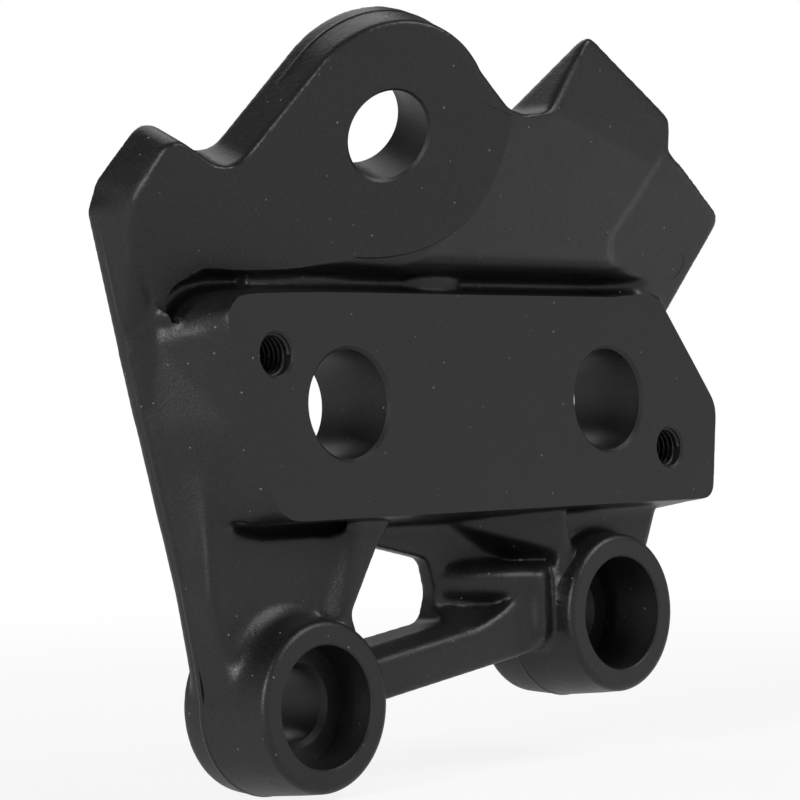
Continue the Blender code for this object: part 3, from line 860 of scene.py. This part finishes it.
def through_hole(name, plane, radius, chamfer, depth, u=0.0, w=0.0):
    """A drilled hole with both mouths chamfered."""
    out = 1.0
    wide = radius + chamfer + out
    profile = [(-out, wide), (chamfer, radius), (depth - chamfer, radius), (depth + out, wide)]
    return turned(name, plane, profile, u, w)


def tapped_hole(name, place):
    profile = [(-1.0, thread_radius + tap_countersink + 1.0), (tap_countersink, thread_radius)]
    profile += [(tap_depth, thread_radius), (tap_depth + 1.2, 0.1)]
    return turned(name, FRONT, profile, *place, segments=48)


def boss_bore(name, place, floor, depth):
    profile = [
        (-1.0, counterbore_radius + counterbore_chamfer + 1.0),
        (counterbore_chamfer, counterbore_radius),
        (floor, counterbore_radius),
        (floor, bolt_radius + bolt_chamfer),
        (floor + bolt_chamfer, bolt_radius),
        (depth - bolt_chamfer, bolt_radius),
        (depth + 1.0, bolt_radius + bolt_chamfer + 1.0),
    ]
    return turned(name, FRONT, profile, *place)


def ear_face_cutter():
    """All in front of the ear's face, above the pad and above the groove's left end."""
    foot, low = ear_face_foot, shelf_z + 1.0
    border = [(-80, 24.2), (-53.3, 23.4), (-49.5, 16.3), (-45.5, 9.8)]
    corners = [(-80, 80), *border, (-45.0, low), (-43.2, foot), (80, foot), (80, 80)]
    face = [(x, EAR.depth_at(x, z), z) for x, z in corners]
    return loft("ear_face", [at_depth(corners, -70), face])


mark_place, mark_radius, mark_depth = (35.5, 17.3), 2.0, 0.07


def ejector_mark():
    """A shallow round print of the pin that pushes the forging out of its die."""
    x, z = mark_place
    face = Plane(Vector((x, WING.depth_at(x, z, wing_step), z)), WING.inward)
    profile = [(-2.0, mark_radius + 0.2), (0.0, mark_radius), (mark_depth, mark_radius - 0.1)]
    return turned("ejector_mark", face, profile, segments=48)

# %% Two finishes, and the cuts
forged_coat = bpy.data.materials.new("forged_satin_black")
machined_coat = bpy.data.materials.new("machined_satin_black")
for coat in (forged_coat, machined_coat):
    coat.use_nodes = True

blank.data.materials.clear()
blank.data.materials.append(forged_coat)
blank.data.materials.append(machined_coat)

pad_front = [(x, y, z) for x in (-60, 60) for y in (-20, 0) for z in (-60, pad_top + 0.9)]
cutters = [
    hull("pad_face", pad_front),
    ear_face_cutter(),
    through_hole("ear_hole", EAR, ear_hole_radius, ear_hole_chamfer, ear_thickness),
    through_hole("pad_hole_left", FRONT, hole_radius, hole_chamfer, body_depth, -hole_pitch / 2),
    through_hole("pad_hole_right", FRONT, hole_radius, hole_chamfer, body_depth, hole_pitch / 2),
    tapped_hole("tap_left", tap_left),
    tapped_hole("tap_right", tap_right),
    boss_bore("bore_left", boss_left, counterbore_left_depth, boss_left_depth),
    boss_bore("bore_right", boss_right, counterbore_right_depth, boss_right_depth),
]
combine(blank, ejector_mark(), "DIFFERENCE", "MANIFOLD")
for cutter in cutters:
    cutter.data.materials.append(forged_coat)
    cutter.data.materials.append(machined_coat)
    for face in cutter.data.polygons:
        face.material_index = 1
    combine(blank, cutter, "DIFFERENCE", "MANIFOLD")
machined = sum(face.material_index for face in blank.data.polygons)
print("Machined hanger:", len(blank.data.polygons), "faces,", machined, "of them machined")

# %% [markdown]
# ## Smooth skin, sharp machined edges
#
# Smooth shading blends the normals of neighbouring faces, which suits the forged skin. On a
# milled face it would bend the light near the border, so every edge between a machined face and
# the forged skin is marked sharp, and so is every edge that turns by more than 32 degrees.

# %% Shading of the hanger
sharp_turn = math.radians(32)


def shade_hanger(mesh):
    mesh.shade_smooth()
    mesh.set_sharp_from_angle(angle=sharp_turn)
    bm = bmesh.new()
    bm.from_mesh(mesh)
    for edge in bm.edges:
        kinds = {face.material_index for face in edge.link_faces}
        if len(kinds) > 1:
            edge.smooth = False
    bm.to_mesh(mesh)
    bm.free()


hanger = blank
hanger.name = "forged_hanger"
hanger.data.name = "forged_hanger"
shade_hanger(hanger.data)
triangles = sum(len(face.vertices) - 2 for face in hanger.data.polygons)
print("Hanger:", triangles, "triangles")

# %% [markdown]
# ## Threads that Geometry Nodes wind
#
# Two small blind holes in the pad are tapped. A thread is a ridge that follows a helix, so it is
# the kind of form that Geometry Nodes make well: a Spiral curve, a diamond for the ridge's
# section, and the same winding put on a point at each hole's mouth. Named inputs hold the sizes
# of an M5 thread. The tree ends in Realize Instances, because only real geometry is exported.

# %% Thread tree
def thread_tree():
    tree = bpy.data.node_groups.new("thread_winding", "GeometryNodeTree")
    tree.interface.new_socket("Geometry", in_out="INPUT", socket_type="NodeSocketGeometry")
    for name in ("Ridge radius", "Pitch", "Turns", "Ridge size"):
        tree.interface.new_socket(name, in_out="INPUT", socket_type="NodeSocketFloat")
    tree.interface.new_socket("Coat", in_out="INPUT", socket_type="NodeSocketMaterial")
    tree.interface.new_socket("Geometry", in_out="OUTPUT", socket_type="NodeSocketGeometry")
    return tree


def add_node(tree, kind, settings=None, sockets=None):
    node = tree.nodes.new(kind)
    for name, value in (settings or {}).items():
        setattr(node, name, value)
    for name, value in (sockets or {}).items():
        if isinstance(value, bpy.types.NodeSocket):
            tree.links.new(value, node.inputs[name])
        else:
            node.inputs[name].default_value = value
    return node


def wind_thread(tree):
    def node(kind, settings, sockets):
        return add_node(tree, "GeometryNode" + kind, settings, sockets).outputs

    given = add_node(tree, "NodeGroupInput").outputs
    winds = {0: given["Pitch"], 1: given["Turns"]}
    height = add_node(tree, "ShaderNodeMath", {"operation": "MULTIPLY"}, winds)
    radius = given["Ridge radius"]
    helix_sizes = {"Start Radius": radius, "End Radius": radius, "Height": height.outputs[0]}
    helix = node("CurveSpiral", {}, {"Resolution": 32, "Rotations": given["Turns"], **helix_sizes})
    level = node("SetCurveNormal", {"mode": "Z_UP"}, {"Curve": helix["Curve"]})
    diamond = {"Resolution": 4, "Radius": given["Ridge size"]}
    section = node("CurvePrimitiveCircle", {"mode": "RADIUS"}, diamond)
    swept = {"Curve": level[0], "Profile Curve": section["Curve"], "Fill Caps": True}
    ridge = node("CurveToMesh", {}, swept)
    laid = {"Geometry": ridge["Mesh"], "Rotation": (-math.pi / 2, 0.0, 0.0)}
    turned_in = node("Transform", {}, laid)
    spread = {"Points": given["Geometry"], "Instance": turned_in["Geometry"]}
    at_holes = node("InstanceOnPoints", {}, spread)
    real = node("RealizeInstances", {}, {"Geometry": at_holes["Instances"]})
    painted = {"Geometry": real["Geometry"], "Material": given["Coat"]}
    coated = node("SetMaterial", {}, painted)
    add_node(tree, "NodeGroupOutput", {}, {"Geometry": coated["Geometry"]})

# %% Threads in both tapped holes
thread_start, thread_pitch, thread_turns, ridge_size = 0.75, 0.8, 9.0, 0.36

tree = thread_tree()
wind_thread(tree)
mouths = bmesh.new()
for x, z in (tap_left, tap_right):
    mouths.verts.new(Vector((x, thread_start, z)) * MM)
threads = new_object("tapped_threads", mouths)
winding = threads.modifiers.new("winding", "NODES")
winding.node_group = tree
sizes = {
    "Ridge radius": (thread_radius - 0.02) * MM,
    "Pitch": thread_pitch * MM,
    "Turns": thread_turns,
    "Ridge size": ridge_size * MM,
    "Coat": machined_coat,
}
for item in tree.interface.items_tree:
    if item.in_out == "INPUT" and item.name in sizes:
        winding[item.identifier] = sizes[item.name]
settle(threads)
print("Threads:", len(threads.data.polygons), "faces")

# %% [markdown]
# ## Shader maths
#
# A pattern is easier to read as a sum than as a web of nodes. This small class wraps an output
# socket, and each operator on it adds the Math node that does the same, so 1 - mask works. All
# the other nodes come from one method that sets a node's settings before its sockets.

# %% A socket that can be calculated with
class Pattern:
    """An output socket of a material's tree."""

    def __init__(self, tree, socket):
        self.tree = tree
        self.socket = socket

    def node(self, kind, settings=None, sockets=None, output=0):
        wired = {}
        for name, value in (sockets or {}).items():
            wired[name] = value.socket if isinstance(value, Pattern) else value
        made = add_node(self.tree, kind, settings, wired)
        return Pattern(self.tree, made.outputs[output])

    def maths(self, operation, first, second):
        return self.node("ShaderNodeMath", {"operation": operation}, {0: first, 1: second})

    def __add__(self, other):
        return self.maths("ADD", self, other)

    def __mul__(self, other):
        return self.maths("MULTIPLY", self, other)

    def __rsub__(self, other):
        return self.maths("SUBTRACT", other, self)

    __radd__, __rmul__ = __add__, __mul__

    def ramp(self, low, high):
        """0 below low, 1 above high, and a soft step between them."""
        settings = {"interpolation_type": "SMOOTHSTEP", "clamp": True}
        limits = {"From Min": low, "From Max": high, "Value": self}
        return self.node("ShaderNodeMapRange", settings, limits)

    def tint(self, low, high):
        """A colour between two, by this pattern."""
        wired = {0: self}
        for slot, colour in ((6, low), (7, high)):
            wired[slot] = colour if isinstance(colour, Pattern) else (*colour, 1.0)
        return self.node("ShaderNodeMix", {"data_type": "RGBA"}, wired, 2)

# %% [markdown]
# ## The satin black coat
#
# The coat is almost black, and what the eye sees on it is mostly soft reflection. Under it, the
# forged skin has the fine pitted grain that shot blasting leaves, and the machined faces are
# smoother with a shallow orange peel. Heights go through Bump nodes in real millimetres. The
# black varies a little from grain to grain, pale specks in the colour are painted glints of
# light, and faint smears change only its roughness. All patterns read Object coordinates, so
# they stay on the metal.

# %% Grain, painted glints and smears
def noise(place, size, detail=2.0, roughness=0.5):
    """Soft noise from 0 to 1 whose lumps are about a size in millimetres."""
    shape = {"Scale": 1.0 / (size * MM), "Detail": detail, "Roughness": roughness}
    return place.node("ShaderNodeTexNoise", {}, {"Vector": place, **shape})


def bumped(height, depth, below=None):
    """A Bump node for a height pattern whose full depth is given in millimetres."""
    sockets = {"Strength": 1.0, "Distance": depth * MM, "Height": height}
    if below is not None:
        sockets["Normal"] = below
    return height.node("ShaderNodeBump", {}, sockets)


coat_deep = (0.0035, 0.0037, 0.0042)
coat_pale = (0.0125, 0.0128, 0.014)
# The pale colour of the painted glints: specks in the base colour that stand in for tiny glints of
# light
glint_colour = (0.16, 0.16, 0.15)
pit_size, peel_size, smear_size, shade_size = 0.4, 1.3, 9.0, 0.22
glint_spacing = 1.9


def satin_black(material, pit_depth, peel_depth, shine):
    tree = material.node_tree
    shader = tree.nodes["Principled BSDF"]
    place = Pattern(tree, add_node(tree, "ShaderNodeTexCoord").outputs["Object"])
    pits = noise(place, pit_size, 3.0, 0.65)
    peel = noise(place, peel_size, 2.0)
    normal = bumped(pits, pit_depth, bumped(peel, peel_depth))
    spacing = {"Vector": place, "Scale": 1.0 / (glint_spacing * MM)}
    cells = place.node("ShaderNodeTexVoronoi", {"feature": "F1"}, spacing)
    chosen = noise(place, 0.9, 1.0).ramp(0.50, 0.56)
    # Painted glints: pale specks tinted into the base colour, standing in for tiny glints of light
    glint_specks = (1.0 - cells.ramp(0.05, 0.09)) * chosen
    smears = noise(place, smear_size, 3.0, 0.6).ramp(0.35, 0.7)
    fine = noise(place, shade_size, 2.0, 0.7).ramp(0.36, 0.64)
    shade = fine.tint(coat_deep, coat_pale)
    colour = glint_specks.tint(shade, glint_colour)
    roughness = shine + 0.07 * smears + 0.06 * pits
    looks = {"Base Color": colour, "Roughness": roughness, "Normal": normal}
    for name, pattern in looks.items():
        tree.links.new(pattern.socket, shader.inputs[name])


satin_black(forged_coat, pit_depth=0.045, peel_depth=0.03, shine=0.33)
satin_black(machined_coat, pit_depth=0.03, peel_depth=0.012, shine=0.38)

# %% [markdown]
# ## Riding on the frame
#
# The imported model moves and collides, and these two pieces are only its looks. The finished
# hanger stands for the CAD node, and the threads ride on the same body.

# %% Pieces on the body
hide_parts("hanger")
for piece in (hanger, threads):
    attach(piece, "root")
print("Pieces:", hanger.name, threads.name)

# %% [markdown]
# ## A pale table and a white room
#
# The part stands on a plain pale table in soft light. A satin black surface shows little but
# what it reflects, so the room itself is the main lamp: a pale world that is dimmer overhead
# and behind the part, with three broad soft lamps. To the camera the world is white, and the
# table fades to white away from the part and keeps only the soft shadow at its foot.

# %% Table
table_size, table_gap = 4.0, 0.00002


def pale_table():
    low = min(vertex.co.z for vertex in hanger.data.vertices)
    bm = bmesh.new()
    size = table_size
    corners = [(-size, -size), (size, -size), (size, size), (-size, size)]
    bm.faces.new([bm.verts.new((x, y, low - table_gap)) for x, y in corners])
    return new_object("table", bm)


white = (1.0, 1.0, 1.0, 1.0)
table_colour = (0.8, 0.8, 0.8, 1.0)
mirrored_floor = 0.45


def table_finish(table):
    material = bpy.data.materials.new("pale_table")
    material.use_nodes = True
    tree = material.node_tree
    tree.nodes.clear()
    matt = {"Color": table_colour, "Roughness": 0.5}
    paint = add_node(tree, "ShaderNodeBsdfDiffuse", {}, matt)
    glow = add_node(tree, "ShaderNodeEmission", {}, {"Color": white, "Strength": 1.0})
    path = add_node(tree, "ShaderNodeLightPath")
    place = Pattern(tree, add_node(tree, "ShaderNodeTexCoord").outputs["Object"])
    distance = place.node("ShaderNodeVectorMath", {"operation": "LENGTH"}, {0: place}, "Value")
    share = 0.86 + 0.14 * distance.ramp(0.1, 0.45)
    plain = Pattern(tree, path.outputs["Is Camera Ray"])
    plain = plain + mirrored_floor * Pattern(tree, path.outputs["Is Glossy Ray"])
    share = share * plain
    mix = {0: share.socket, 1: paint.outputs[0], 2: glow.outputs[0]}
    mixed = add_node(tree, "ShaderNodeMixShader", {}, mix)
    add_node(tree, "ShaderNodeOutputMaterial", {}, {"Surface": mixed.outputs[0]})
    table.data.materials.append(material)


table = pale_table()
table_finish(table)

# %% World and lamps
world = bpy.data.worlds.new("white_room")
bpy.context.scene.world = world
world.use_nodes = True
room = world.node_tree
room.nodes.clear()
path = add_node(room, "ShaderNodeLightPath")
seen = Pattern(room, path.outputs["Is Camera Ray"])
outward = Pattern(room, add_node(room, "ShaderNodeTexCoord").outputs["Generated"])
height = outward.node("ShaderNodeSeparateXYZ", {}, {0: outward}, "Z")
wall_level, ceiling_level, far_share = 0.64, 0.12, 0.3
level = wall_level - (wall_level - ceiling_level) * height.ramp(0.05, 0.75)
behind = {0: outward, 1: (0.7, 0.7, 0)}
far = outward.node("ShaderNodeVectorMath", {"operation": "DOT_PRODUCT"}, behind, "Value")
level = level * (1.0 - (1.0 - far_share) * far.ramp(-0.1, 0.6))
strength = seen * (1.0 - level) + level
glowing = {"Color": white, "Strength": strength.socket}
walls = add_node(room, "ShaderNodeBackground", {}, glowing)
add_node(room, "ShaderNodeOutputWorld", {}, {"Surface": walls.outputs[0]})


def soft_lamp(name, place, size, power):
    """A broad lamp that looks at the part, in metres and watts."""
    light = bpy.data.lights.new(name, "AREA")
    light.shape = "RECTANGLE"
    light.size, light.size_y = size
    light.energy = power
    lamp = bpy.data.objects.new(name, light)
    aim = Vector(place).to_track_quat("Z", "Y").to_matrix().to_4x4()
    lamp.matrix_world = Matrix.Translation(place) @ aim
    lamp.visible_camera = False
    bpy.context.scene.collection.objects.link(lamp)


soft_lamp("lamp_left", (-0.66, -0.18, 0.22), (0.18, 0.3), 2.2)
soft_lamp("lamp_front", (0.3, -0.5, 0.55), (0.5, 0.4), 2.8)
soft_lamp("lamp_back", (0.25, 0.5, 0.6), (0.5, 0.5), 1.1)

# %% [markdown]
# ## The camera
#
# The outlines of the round holes give the camera away: each circle is seen as an ellipse, and
# only one place and one lens show all of them as the photograph does. The camera stands almost
# level with the part, 45 degrees to its left, with a long lens.

# %% Camera
camera_place = (-276.86, -255.98, -3.33)
camera_data = bpy.data.cameras.new("camera")
camera_data.lens = 137.12
camera_data.clip_start = 0.01
camera = bpy.data.objects.new("camera", camera_data)
bpy.context.scene.collection.objects.link(camera)
right = (0.69913, -0.71438, -0.02956)
up = (0.01344, -0.02820, 0.99951)
back = (-0.71486, -0.69919, -0.01011)
turn = Matrix((right, up, back)).transposed().to_4x4()
camera.matrix_world = Matrix.Translation(Vector(camera_place) * MM) @ turn
bpy.context.scene.camera = camera
bpy.context.scene.view_settings.view_transform = "Standard"
